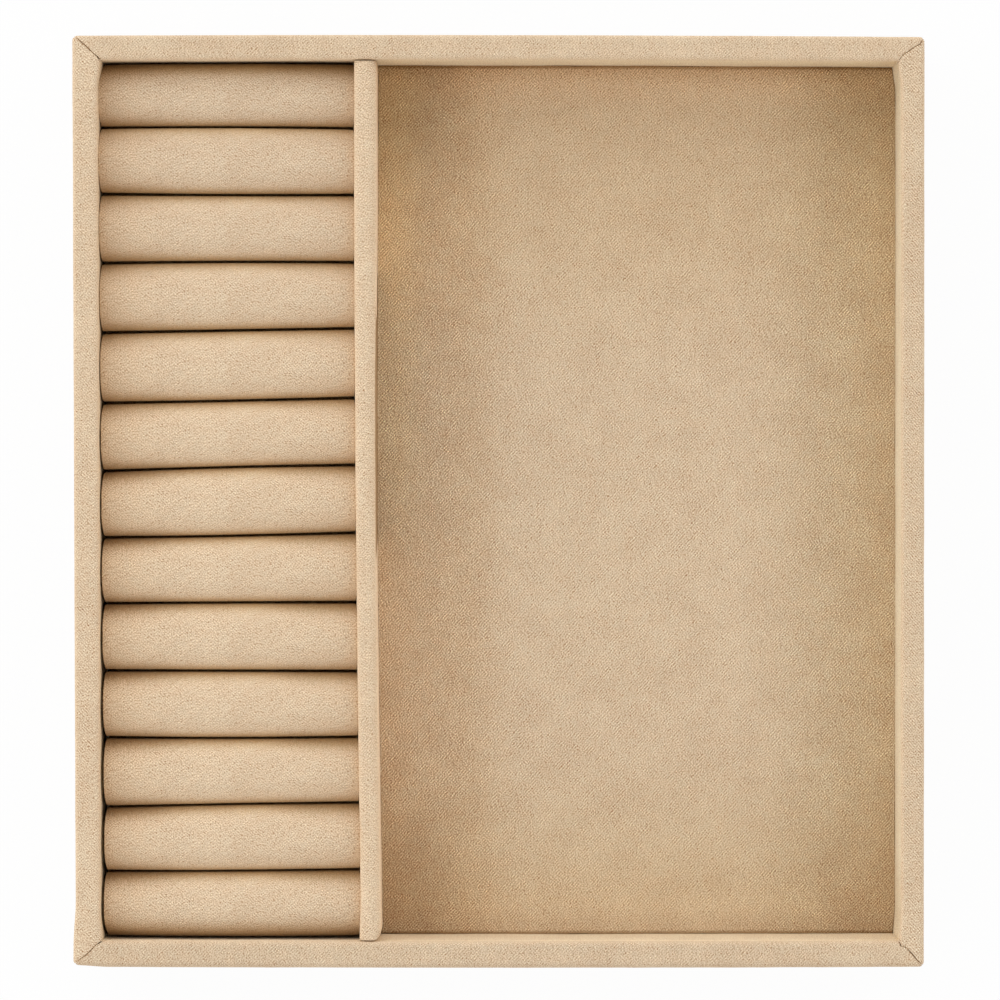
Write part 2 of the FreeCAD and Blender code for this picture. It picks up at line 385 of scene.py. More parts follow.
def nap_group(fine=0.5, crisp=0.62, tufted=0.25, dotted=0.42, crossed=0.6):
    """Suede's brushed nap: a fine twill below, crisp fibre tips, dark pores and soft blotches."""
    inputs = [
        ("Cloth", "NodeSocketVector"),
        ("Nap", "NodeSocketColor"),
        ("Deep", "NodeSocketColor"),
        ("Twill", "NodeSocketFloat"),
        ("Fibres", "NodeSocketFloat"),
    ]
    outputs = [
        ("Colour", "NodeSocketColor"),
        ("Height", "NodeSocketFloat"),
        ("Roughness", "NodeSocketFloat"),
    ]
    tree, given, result = new_group("Suede nap", inputs, outputs)
    cloth = given["Cloth"]
    along = ribs_of(tree, cloth, degrees=45, scale=500.0, low=0.35, high=0.6)
    cross = ribs_of(tree, cloth, degrees=-45, scale=410.0, low=0.4, high=0.65)
    ribs = maths(tree, "ADD", along, maths(tree, "MULTIPLY", cross, crossed))
    ribs = maths(tree, "MULTIPLY", ribs, given["Twill"])

    fibres = maths(tree, "SUBTRACT", speckles(tree, cloth, 1900.0, 3.0, 0.6), 0.5)
    askew = turned(tree, cloth, 29)
    tip = fibre_tips(tree, askew, 0, 0)
    beside = fibre_tips(tree, askew, FIBRE_CELL, 0)
    above = fibre_tips(tree, askew, 0, FIBRE_CELL)
    around = maths(tree, "MULTIPLY", maths(tree, "ADD", beside, above), 0.5)
    tips = maths(tree, "SUBTRACT", tip, around)
    tufts = maths(tree, "SUBTRACT", speckles(tree, cloth, 420.0, 2.0, 0.8), 0.5)
    fuzz = maths(tree, "ADD", maths(tree, "MULTIPLY", fibres, fine), maths(tree, "MULTIPLY", tips, crisp))
    fuzz = maths(tree, "ADD", fuzz, maths(tree, "MULTIPLY", tufts, tufted))
    hairs = maths(tree, "MULTIPLY", fuzz, given["Fibres"])
    relief = maths(tree, "ADD", ribs, hairs)

    blotches = speckles(tree, cloth, 90.0, 2.0, 0.6)
    lay = speckles(tree, cloth, 22.0, 2.0)
    soft = maths(tree, "MULTIPLY", maths(tree, "SUBTRACT", blotches, 0.5), 0.3)
    broad = maths(tree, "MULTIPLY", maths(tree, "SUBTRACT", lay, 0.5), 0.10)
    cells = {"Vector": cloth, "Scale": 700.0}
    spots = put(tree, "ShaderNodeTexVoronoi", cells, voronoi_dimensions="2D").outputs
    pores = ranged(tree, spots["Distance"], 0.08, 0.22, dotted, 0.0)
    pores = maths(tree, "MULTIPLY", pores, ranged(tree, spots["Color"], 0.3, 0.7))
    level = maths(tree, "ADD", maths(tree, "ADD", relief, maths(tree, "ADD", soft, broad)), NAP_MEAN)
    level = maths(tree, "SUBTRACT", level, pores)
    colour_out = mixed(tree, level, given["Deep"], given["Nap"])
    colour_out.node.clamp_factor = False
    tint = ranged(tree, speckles(tree, cloth, 300.0, 2.0), 0.35, 0.65)
    tinted = mixed(tree, tint, (1.012, 0.995, 0.985, 1), (0.992, 1.003, 1.012, 1))
    tree.links.new(mixed(tree, 1.0, colour_out, tinted, "MULTIPLY"), result["Colour"])
    tree.links.new(relief, result["Height"])
    tree.links.new(ranged(tree, blotches, 0.3, 0.7, 0.82, 0.96), result["Roughness"])
    return tree


def board_group():
    """Pressed fibres: short streaks and specks in two shades."""
    inputs = [("Place", "NodeSocketVector"), ("Pale", "NodeSocketColor"), ("Dark", "NodeSocketColor")]
    outputs = [("Colour", "NodeSocketColor"), ("Height", "NodeSocketFloat")]
    tree, given, result = new_group("Pressed fibres", inputs, outputs)
    streaks = speckles(tree, stretched(tree, given["Place"], 1, 0.35), 900.0, 4.0, 0.65)
    specks = speckles(tree, given["Place"], 2600.0)
    mix = maths(tree, "MULTIPLY_ADD", streaks, 1.6)
    mix.node.inputs[2].default_value = -0.3
    grain = maths(tree, "ADD", mix, maths(tree, "MULTIPLY", maths(tree, "SUBTRACT", specks, 0.5), 0.5))
    tree.links.new(mixed(tree, grain, given["Dark"], given["Pale"]), result["Colour"])
    tree.links.new(grain, result["Height"])
    return tree


def new_material(name):
    """A material with a Principled shader, and its tree."""
    material = bpy.data.materials.new(name)
    material.use_nodes = True
    return material, material.node_tree, material.node_tree.nodes["Principled BSDF"]


def rgba(value, level=1.0):
    """A colour for a socket, made lighter or darker."""
    return tuple(min(part * level, 1.0) for part in value) + (1.0,)


def cloth_place(tree):
    """The place on a piece's flat cloth, in metres."""
    return put(tree, "ShaderNodeUVMap", uv_map="cloth").outputs[0]


def object_place(tree):
    """The place on a piece."""
    return put(tree, "ShaderNodeTexCoord").outputs["Object"]


def parts_of(tree, place):
    """X, Y and Z of a place."""
    return put(tree, "ShaderNodeSeparateXYZ", {"Vector": place}).outputs


# The level makes each piece's copy of the suede lighter or darker, as painted light and shade
def suede_material(name, finishes, level, twill, fibres, degrees=0.0):
    """Suede on a piece that has a cloth map, its grain turned."""
    group = bpy.data.node_groups.get("Suede nap") or nap_group()
    material, tree, shader = new_material(name)
    inputs = {
        "Cloth": turned(tree, cloth_place(tree), degrees),
        "Nap": rgba(finishes.suede, level),
        "Deep": rgba(finishes.suede_deep, level),
        "Twill": twill,
        "Fibres": fibres,
    }
    nap = put(tree, "ShaderNodeGroup", inputs, node_tree=group).outputs
    tree.links.new(nap["Colour"], shader.inputs["Base Color"])
    tree.links.new(nap["Roughness"], shader.inputs["Roughness"])
    bumped(tree, shader, nap["Height"], strength=0.5, distance=0.12 * MM)
    shader.inputs["Specular IOR Level"].default_value = 0.04
    shader.inputs["Sheen Weight"].default_value = 0.15
    shader.inputs["Sheen Roughness"].default_value = 0.45
    shader.inputs["Sheen Tint"].default_value = rgba(finishes.suede, 1.25)
    return material


def share_past(tree, ranges):
    """A share that grows past a distance from a middle line for each of these values."""
    share = 1.0
    for value, middle, start, end in ranges:
        out = maths(tree, "ABSOLUTE", maths(tree, "SUBTRACT", value, middle), 0)
        inputs = {"Value": out, "From Min": start, "From Max": end}
        step = put(tree, "ShaderNodeMapRange", inputs, interpolation_type="SMOOTHSTEP").outputs["Result"]
        share = maths(tree, "MULTIPLY", share, step)
    return share


def paint_shading(material, ranges, tone):
    """Paints light and shade on a suede: multiplies its colour by a tone within these ranges."""
    tree = material.node_tree
    shader = tree.nodes["Principled BSDF"]
    base = shader.inputs["Base Color"].links[0].from_socket
    toned = mixed(tree, share_past(tree, ranges), base, tuple(tone) + (1.0,), "MULTIPLY")
    tree.links.new(toned, shader.inputs["Base Color"])


def embolden(material, ranges, finishes, strength):
    """Makes a suede's grain stronger within these ranges."""
    tree = material.node_tree
    shader = tree.nodes["Principled BSDF"]
    base = shader.inputs["Base Color"].links[0].from_socket
    usual = [deep + (pale - deep) * NAP_MEAN for deep, pale in zip(finishes.suede_deep, finishes.suede)]
    ratio = mixed(tree, 1.0, base, tuple(1 / part for part in usual) + (1.0,), "MULTIPLY")
    share = maths(tree, "MULTIPLY", share_past(tree, ranges), strength)
    tree.links.new(mixed(tree, share, base, ratio, "MULTIPLY"), shader.inputs["Base Color"])


def board_material(name, pale):
    """Fibreboard or greyboard."""
    group = bpy.data.node_groups.get("Pressed fibres") or board_group()
    material, tree, shader = new_material(name)
    inputs = {"Place": object_place(tree), "Pale": rgba(pale, 1.15), "Dark": rgba(pale, 0.7)}
    fibre = put(tree, "ShaderNodeGroup", inputs, node_tree=group).outputs
    tree.links.new(fibre["Colour"], shader.inputs["Base Color"])
    bumped(tree, shader, fibre["Height"], strength=0.4, distance=0.1 * MM)
    shader.inputs["Roughness"].default_value = 0.85
    shader.inputs["Specular IOR Level"].default_value = 0.2
    return material


def foam_material(finishes):
    """Open-cell foam with small pores, made once for all the foam pieces."""
    made = bpy.data.materials.get("foam")
    if made:
        return made
    material, tree, shader = new_material("foam")
    inputs = {"Vector": object_place(tree), "Scale": 1100.0}
    pores = ranged(tree, put(tree, "ShaderNodeTexVoronoi", inputs).outputs["Distance"], 0.15, 0.5)
    shaded = mixed(tree, pores, rgba(finishes.foam, 0.7), rgba(finishes.foam))
    tree.links.new(shaded, shader.inputs["Base Color"])
    bumped(tree, shader, pores, strength=0.6, distance=0.3 * MM)
    shader.inputs["Roughness"].default_value = 0.95
    return material


def lining_material(finishes):
    """Brushed cotton lining: short fibres both ways."""
    material, tree, shader = new_material("lining")
    place = object_place(tree)
    long_way = speckles(tree, stretched(tree, place, 1, 0.25), 1800.0)
    cross_way = speckles(tree, stretched(tree, place, 0.25, 1), 1800.0)
    threads = ranged(tree, maths(tree, "ADD", long_way, cross_way), 0.7, 1.3)
    woven = mixed(tree, threads, rgba(finishes.lining, 0.78), rgba(finishes.lining, 1.15))
    tree.links.new(woven, shader.inputs["Base Color"])
    bumped(tree, shader, threads, strength=0.5, distance=0.12 * MM)
    shader.inputs["Roughness"].default_value = 0.92
    shader.inputs["Sheen Weight"].default_value = 0.15
    return material


def lined_up(edge, axis):
    """Whether an edge runs along one axis."""
    run = edge.verts[1].co - edge.verts[0].co
    return abs(run[axis]) > 0.99 * run.length


def edges_at(bm, axis, **places):
    """The edges that run along an axis at one place on the others."""
    found = []
    for edge in bm.edges:
        spots = [abs(getattr(vert.co, name) - at) for vert in edge.verts for name, at in places.items()]
        if lined_up(edge, axis) and max(spots) < NEAR:
            found.append(edge)
    return found


def round_off(bm, edges, radius, segments):
    """Rounds edges off."""
    bmesh.ops.bevel(
        bm,
        geom=edges,
        offset=radius,
        offset_type="OFFSET",
        segments=segments,
        profile=0.5,
        affect="EDGES",
        material=-1,
    )


def strip(points, length, folds, fineness, along):
    """Cloth drawn out along X over a chain of (y, z) points, its folds rounded, fine enough to shape."""
    bm = bmesh.new()
    verts = [bm.verts.new((-length / 2, y, z)) for y, z in points]
    chain = [bm.edges.new(pair) for pair in zip(verts, verts[1:])]
    made = bmesh.ops.extrude_edge_only(bm, edges=chain)["geom"]
    moved = [item for item in made if isinstance(item, bmesh.types.BMVert)]
    bmesh.ops.translate(bm, verts=moved, vec=(length, 0, 0))
    for (y, z), radius, segments in folds:
        round_off(bm, edges_at(bm, 0, y=y, z=z), radius, segments)
    across = [edge for edge in bm.edges if not lined_up(edge, 0)]
    for cuts in {round(edge.calc_length() / fineness) for edge in across}:
        alike = [edge for edge in across if edge.is_valid and round(edge.calc_length() / fineness) == cuts]
        if cuts > 1:
            bmesh.ops.subdivide_edges(bm, edges=alike, cuts=cuts - 1, use_grid_fill=True)
    lengthwise = [edge for edge in bm.edges if lined_up(edge, 0)]
    bmesh.ops.subdivide_edges(bm, edges=lengthwise, cuts=along - 1, use_grid_fill=True)
    for edge in bm.edges:
        edge.seam = lined_up(edge, 0)
    bm.normal_update()
    return bm


def refine(piece, cuts):
    """Cuts a sleeve finer along its length."""
    bm = bmesh.new()
    bm.from_mesh(piece.data)
    lengthwise = [edge for edge in bm.edges if edge.seam]
    bmesh.ops.subdivide_edges(bm, edges=lengthwise, cuts=cuts, use_grid_fill=True)
    bm.to_mesh(piece.data)
    bm.free()
    piece.data.shade_smooth()


def edges_above(bm, height):
    """The edges whose middle lies above a height."""
    return [edge for edge in bm.edges if edge.verts[0].co.z + edge.verts[1].co.z > 2 * height]


def box(low, high):
    """A block between two corners."""
    bm = bmesh.new()
    bmesh.ops.create_cube(bm, size=1)
    bmesh.ops.scale(bm, verts=bm.verts, vec=high - low)
    bmesh.ops.translate(bm, verts=bm.verts, vec=(low + high) / 2)
    return bm


def sliced(bm, axis, start, end, step):
    """Cuts a shape across one axis at even steps."""
    normal = Vector((0, 0, 0))
    normal[axis] = 1
    count = max(round((end - start) / step), 1)
    for number in range(1, count):
        place = normal * (start + (end - start) * number / count)
        geom = bm.verts[:] + bm.edges[:] + bm.faces[:]
        bmesh.ops.bisect_plane(bm, geom=geom, plane_co=place, plane_no=normal, dist=1e-7)


def lay_cloth(bm, place):
    """Gives each corner of each face its place on the flat cloth, in metres."""
    layer = bm.loops.layers.uv.new("cloth")
    for face in bm.faces:
        for loop in face.loops:
            loop[layer].uv = place(loop.vert.co)


def rounded_plan(out_x, out_y):
    """A plan point past a rounded corner's middle, brought in on to its arc."""
    if out_x <= 0 or out_y <= 0:
        return out_x, out_y
    share = max(out_x, out_y) / math.hypot(out_x, out_y)
    return out_x * share, out_y * share


def ripple(place, wavelength, height, seed):
    """A small smooth unevenness at a place."""
    return height * noise.noise(place / wavelength + Vector((seed, 2 * seed, 3 * seed)))


def stand(bm, name, material, slot, *nodes):
    """The finished piece in its place, standing for its CAD nodes."""
    mesh = bpy.data.meshes.new(name)
    bm.to_mesh(mesh)
    bm.free()
    mesh.materials.append(material)
    mesh.shade_smooth()
    piece = bpy.data.objects.new(name, mesh)
    bpy.context.scene.collection.objects.link(piece)
    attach(piece, "root")
    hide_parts(*nodes)
    return piece


def thicken(piece, thickness):
    """Gives a sheet its thickness, inwards from its outside."""
    wall = piece.modifiers.new("thickness", "SOLIDIFY")
    wall.thickness = thickness
    wall.offset = -1


def swell(piece, held, pressure, cap):
    """Blows a piece up a little with cloth, where it isn't held, and stops each point at the cap."""
    scene = bpy.context.scene
    pins = piece.vertex_groups.new(name="held")
    pins.add([vert.index for vert in piece.data.vertices if held(vert.co)], 1, "REPLACE")
    cloth = piece.modifiers.new("swell", "CLOTH")
    cloth.settings.vertex_group_mass = pins.name
    cloth.settings.use_pressure = True
    cloth.settings.uniform_pressure_force = pressure
    cloth.settings.effector_weights.gravity = 0
    cloth.settings.tension_stiffness = 8
    cloth.settings.compression_stiffness = 8
    cloth.settings.bending_stiffness = 0.2
    cloth.collision_settings.use_collision = False
    last = 20
    for number in range(1, last + 1):
        scene.frame_set(number)
    blown = piece.evaluated_get(bpy.context.evaluated_depsgraph_get()).data
    moves = [blown.vertices[vert.index].co - vert.co for vert in piece.data.vertices]
    piece.modifiers.remove(cloth)
    piece.vertex_groups.remove(pins)
    for vert, move in zip(piece.data.vertices, moves):
        if move.length > cap:
            move.length = cap
        vert.co += move
    scene.frame_set(1)


def read_off(value, points):
    """A level read off a line through (place, level) points."""
    for (start, low), (end, high) in zip(points, points[1:]):
        if value <= end:
            return low + (high - low) * (value - start) / (end - start)
    return points[-1][1]


def seam_at(corner, depth, along_x):
    """How far a wall's cover stops from the corner at a depth from its outside, and its seam's opening."""
    if depth >= WALL:
        return depth, 0
    path = [(0, 0, 0.5)] + list(SEAMS[corner]) + [(WALL / MM, WALL / MM, 0)]
    if not along_x:
        path = [(end, side, opening) for side, end, opening in path]
    inset = read_off(depth, [(deep * MM, far * MM) for far, deep, opening in path])
    return inset, read_off(depth, [(deep * MM, opening) for far, deep, opening in path])


def wall_cover(side, sizes):
    """One wall's wrap: the hem under the base, the outside, the rim, the inside and the turn-in."""
    half, turn, corners = WALLS[side]
    along_x = side in ("front", "back")
    top = TRAY_HIGH.z
    foot = LINING_HIGH.z
    points = [
        (sizes.outer_hem, foot),
        (0, foot),
        (0, top),
        (WALL, top),
        (WALL, SEAT),
        (WALL + sizes.inner_hem, SEAT),
    ]
    folds = [
        (points[1], SUEDE, 3),
        (points[2], sizes.rim_round, 5),
        (points[3], sizes.rim_round, 5),
        (points[4], SUEDE / 2, 2),
    ]
    bm = strip(points, 2 * half, folds, fineness=0.6 * MM, along=140)

    gap = bm.verts.layers.float.new("gap")
    opening = bm.verts.layers.float.new("opening")
    for vert in bm.verts:
        corner = corners[0] if vert.co.x < 0 else corners[1]
        inset, vert[opening] = seam_at(corner, max(vert.co.y, 0), along_x)
        reach = half - inset
        share = 1 - (1 - abs(vert.co.x) / half) ** 2
        vert.co.x = math.copysign(share * reach, vert.co.x)
        vert[gap] = (1 - share) * reach

    def flat_place(co):
        """Along the wall, and round it from the foot of its outside."""
        if co.z < foot + SUEDE / 4 and co.y > SUEDE:
            return co.x, -co.y
        if co.y < WALL / 2:
            return co.x, co.z + co.y
        return co.x, 2 * top - co.z + co.y

    lay_cloth(bm, flat_place)
    radius = sizes.corner_round
    for vert in bm.verts:
        sign = math.copysign(1, vert.co.x)
        past = abs(vert.co.x) - (half - radius)
        past, deep = rounded_plan(past, radius - vert.co.y)
        vert.co.x = sign * (half - radius + past)
        vert.co.y = radius - deep
    bm.normal_update()
    for vert in bm.verts:
        drawn_in = max(1 - vert[gap] / sizes.seam_width, 0) ** 2 * sizes.seam_depth * vert[opening]
        uneven = ripple(vert.co, 22 * MM, 0.07 * MM, turn + 1.5)
        uneven += ripple(vert.co, 5 * MM, 0.03 * MM, turn + 7.5)
        vert.co -= vert.normal * (drawn_in + uneven)
    out = TRAY_LOW.y if along_x else TRAY_LOW.x
    bmesh.ops.translate(bm, verts=bm.verts, vec=(0, out, 0))
    about_z = Matrix.Rotation(math.radians(turn), 3, "Z")
    bmesh.ops.rotate(bm, verts=bm.verts, cent=(0, 0, 0), matrix=about_z)
    for vert in bm.verts:
        vert.co += out_of_square(vert.co, sizes) + corner_flare(vert.co, sizes)
    return bm


def eased(value):
    """A share from 0 to 1 that starts and ends gently."""
    share = min(max(value, 0), 1)
    return share * share * (3 - 2 * share)


def plan_line(low_side, high_side, inner, outer):
    """How far two facing walls' wraps stand in, as points on a line across the tray."""
    low_out, low_in = SET_IN[low_side]
    high_out, high_in = SET_IN[high_side]
    return ((-outer, low_out * MM), (-inner, low_in * MM), (inner, -high_in * MM), (outer, -high_out * MM))


def out_of_square(co, sizes):
    """How far the hand-made frame runs, bows and bunches up off its drawing at a place in plan."""
    to_right = (co.x - TRAY_LOW.x) / (TRAY_HIGH.x - TRAY_LOW.x)
    to_back = (co.y - TRAY_LOW.y) / (TRAY_HIGH.y - TRAY_LOW.y)
    left = sizes.left_run * (1 - 2 * to_back) * (1 - to_right)
    middle = 4 * to_right * (1 - to_right)
    back = (sizes.back_run * (1 - 2 * to_right) + sizes.back_bow * middle) * to_back
    front = sizes.front_bow * middle * (1 - to_back)
    x = left + read_off(co.x, plan_line("left", "right", INNER_X, TRAY_HIGH.x))
    y = back - front + read_off(co.y, plan_line("front", "back", INNER_Y, TRAY_HIGH.y))
    at_end = eased(1 - (INNER_Y - abs(co.y)) / sizes.fold_reach)
    at_side = eased(1 - (INNER_X - abs(co.x)) / sizes.fold_reach)
    inside = eased((TRAY_HIGH.x - abs(co.x)) / WALL)
    fold = sizes.fold * (1 if co.y > 0 else 0.6) * at_end * at_side * inside
    return Vector((x - math.copysign(fold, co.x), y, 0))


def corner_flare(co, sizes):
    """How far the thick fold at the front left corner stands out at a place in plan."""
    from_left = co.x - TRAY_LOW.x
    from_front = co.y - TRAY_LOW.y
    out = eased((sizes.flare_reach - from_front) / sizes.flare_reach * 1.4)
    out *= eased(1 - from_left / (WALL / 2))
    back = eased(1 - from_left / (sizes.flare_reach / 2)) * eased(1 - from_front / (WALL / 2))
    return Vector((-sizes.flare * out, sizes.flare * 0.7 * back, 0))


def divider_run(y, sizes, to_right):
    """How far the divider's left face (0) or right face (1) runs off to the right at a place along it."""
    to_back = y / INNER_Y
    run = sizes.divider_off - sizes.divider_lean * to_back + sizes.divider_bow * to_back**2
    right = sizes.divider_taper * eased((to_back + 0.2) / 1.1) - sizes.divider_thin
    left = -sizes.divider_kick * eased(1 - (y + INNER_Y) / (14 * MM))
    return run + left + (right - left) * to_right


def roll_edge(number, x):
    """Where the crease after so many rolls lies, at a place along the rolls."""
    nominal = INNER_Y - number * ROLL_PITCH
    left, right = CREASES[number]
    share = (x - ROLL_LOW.x) / (ROLL_HIGH.x - ROLL_LOW.x)
    bow = 0.25 * MM * math.sin(math.pi * share) * math.sin(number * 2.4)
    return nominal + (left + (right - left) * share) * MM + bow


class TrayWallSuede(bpy.types.Operator):
    """Wraps each wall from under the base, over the rim, down to the bay's floor"""

    bl_idname = "tray.wall_suede"
    bl_label = "Wrap the walls"

    def execute(self, context):
        sizes = context.scene.tray_sizes
        finishes = context.scene.tray_finishes
        rim = TRAY_HIGH.z + WALL
        far = 60 * MM
        outer_edge = far + WALL
        for side in WALLS:
            bm = wall_cover(side, sizes)
            level, twill, fibres, painted_inside_light = WALL_NAPS_AND_PAINTED_LIGHT[side]
            material = suede_material("suede_" + side, finishes, level, twill, fibres)
            round_it = parts_of(material.node_tree, cloth_place(material.node_tree))["Y"]
            # Painted light: the wall's inside is made paler
            paint_shading(material, ((round_it, 0, rim, rim + 4 * MM),), painted_inside_light)
            # Painted shade: the wall's outside is made darker
            paint_shading(material, ((round_it, rim + far, outer_edge + MM, outer_edge + 5 * MM),), OUTSIDE_PAINTED_SHADE)
            # Painted shade on the front rim's outer edge
            if side == "front":
                paint_shading(material, ((round_it, rim, WALL - 2 * MM, WALL),), FRONT_RIM_PAINTED_SHADE)
            piece = stand(bm, side + "_wall_suede", material, "suede", side + "_wall_cover")
            thicken(piece, SUEDE)
        return {"FINISHED"}


class TrayDividerSuede(bpy.types.Operator):
    """Wraps the divider over its top and ends, with a hem on the base along each face"""

    bl_idname = "tray.divider_suede"
    bl_label = "Wrap the divider"

    def execute(self, context):
        sizes = context.scene.tray_sizes
        finishes = context.scene.tray_finishes
        skin = Vector((SUEDE, SUEDE, SUEDE))
        low = DIVIDER_LOW - skin
        high = DIVIDER_HIGH + skin
        low.z = SEAT
        high.z += sizes.divider_proud
        bm = self.cover(low, high, sizes)
        # Painted light: the divider's suede is made paler
        material = suede_material("suede_divider", finishes, level=1.065, twill=0.45, fibres=1.25)
        across = parts_of(material.node_tree, cloth_place(material.node_tree))["Y"]
        # Painted light on the divider's right face
        paint_shading(material, ((across, -20 * MM, 23 * MM, 26 * MM),), DIVIDER_FACE_PAINTED_LIGHT)
        piece = stand(bm, "divider_suede", material, "suede", "divider_cover")
        thicken(piece, SUEDE)
        return {"FINISHED"}

    def cover(self, low, high, sizes):
        """The wrap between two corners, open below, with its hems."""
        middle = (low.x + high.x) / 2
        bm = box(low, high)
        floor = [face for face in bm.faces if face.normal.z < -0.9]
        bmesh.ops.delete(bm, geom=floor, context="FACES_ONLY")
        round_off(bm, edges_at(bm, 1, x=low.x, z=high.z), sizes.divider_round, 6)
        round_off(bm, edges_at(bm, 1, x=high.x, z=high.z), 1.4 * sizes.divider_round, 6)
        sliced(bm, 1, low.y, high.y, 3 * MM)
        sliced(bm, 1, low.y, low.y + sizes.divider_end, sizes.divider_end / 6)
        sliced(bm, 2, low.z, high.z - sizes.divider_round, 3 * MM)
        sliced(bm, 0, low.x + sizes.divider_round, high.x - sizes.divider_round, 0.6 * MM)
        open_edges = [edge for edge in bm.edges if edge.is_boundary]
        sides = [edge for edge in open_edges if lined_up(edge, 1)]
        made = bmesh.ops.extrude_edge_only(bm, edges=sides)["geom"]
        for item in made:
            if isinstance(item, bmesh.types.BMVert):
                item.co.x += math.copysign(sizes.divider_hem, item.co.x - middle)

        def flat_place(co):
            """Along the divider, and across from the middle of its top."""
            across = co.x - middle
            return co.y, across + math.copysign(high.z - co.z, across)

        lay_cloth(bm, flat_place)
        bmesh.ops.recalc_face_normals(bm, faces=bm.faces)
        radius = sizes.divider_end
        for vert in bm.verts:
            past = low.y + radius - vert.co.y
            out, past = rounded_plan(vert.co.x - high.x + radius, past)
            vert.co.x = high.x - radius + out
            vert.co.y = low.y + radius - past
        bm.normal_update()
        for vert in bm.verts:
            uneven = ripple(vert.co, 18 * MM, 0.08 * MM, 31.5)
            uneven += ripple(vert.co, 5 * MM, 0.03 * MM, 37.5)
            vert.co -= vert.normal * uneven
            to_right = min(max((vert.co.x - low.x) / (high.x - low.x), 0), 1)
            vert.co.x += divider_run(vert.co.y, sizes, to_right)
            vert.co.y += sizes.divider_short * eased(1 - (vert.co.y - low.y) / (20 * MM))
        return bm


